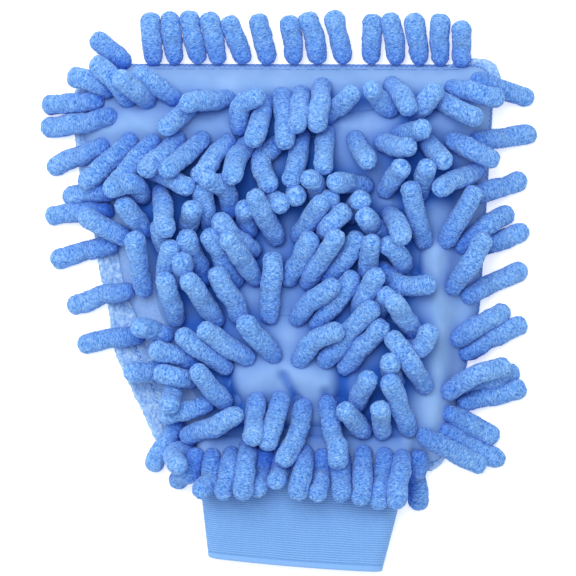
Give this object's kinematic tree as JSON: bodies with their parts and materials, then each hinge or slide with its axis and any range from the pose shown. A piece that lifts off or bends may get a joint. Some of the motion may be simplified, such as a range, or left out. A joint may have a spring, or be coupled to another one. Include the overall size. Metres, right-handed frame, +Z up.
{
  "type": "wash mitt",
  "caption": "Flat-lying wash mitt: puffed knit front with rows of chenille tufts, loop-pile back and a ribbed elastic cuff with an open mouth.",
  "frame": {"origin": "on the plane that the mitt lies on, under the middle of its hand pocket", "axes": "+Z up out of the tufted front, +Y towards the fingertips, the cuff's mouth towards -Y"},
  "size_m": [0.2251, 0.2542, 0.048],
  "materials": {
    "chenille": "velvety microfibre chenille pile",
    "knit": "smooth fine knit",
    "terry": "loop pile cloth",
    "rib_knit": "ribbed elastic knit",
    "lining": "thin woven lining",
    "thread": "polyester sewing thread",
    "elastic": "natural rubber yarn"
  },
  "bodies": {
    "root": {"back_panel": "terry", "front_panel": "knit", "lining_front": "lining", "lining_back": "lining", "perimeter_seam": "thread", "cuff": "rib_knit", "cuff_elastic": "elastic", "cuff_side_seam": "thread", "cuff_join_seam": "thread", "row_stitching": "thread", "tuft_row_01": "chenille", "tuft_row_02": "chenille", "tuft_row_03": "chenille", "tuft_row_04": "chenille", "tuft_row_05": "chenille", "tuft_row_06": "chenille", "tuft_row_07": "chenille", "tuft_row_08": "chenille", "tuft_row_09": "chenille", "tuft_row_10": "chenille", "tuft_row_11": "chenille"}
  },
  "joints": []
}
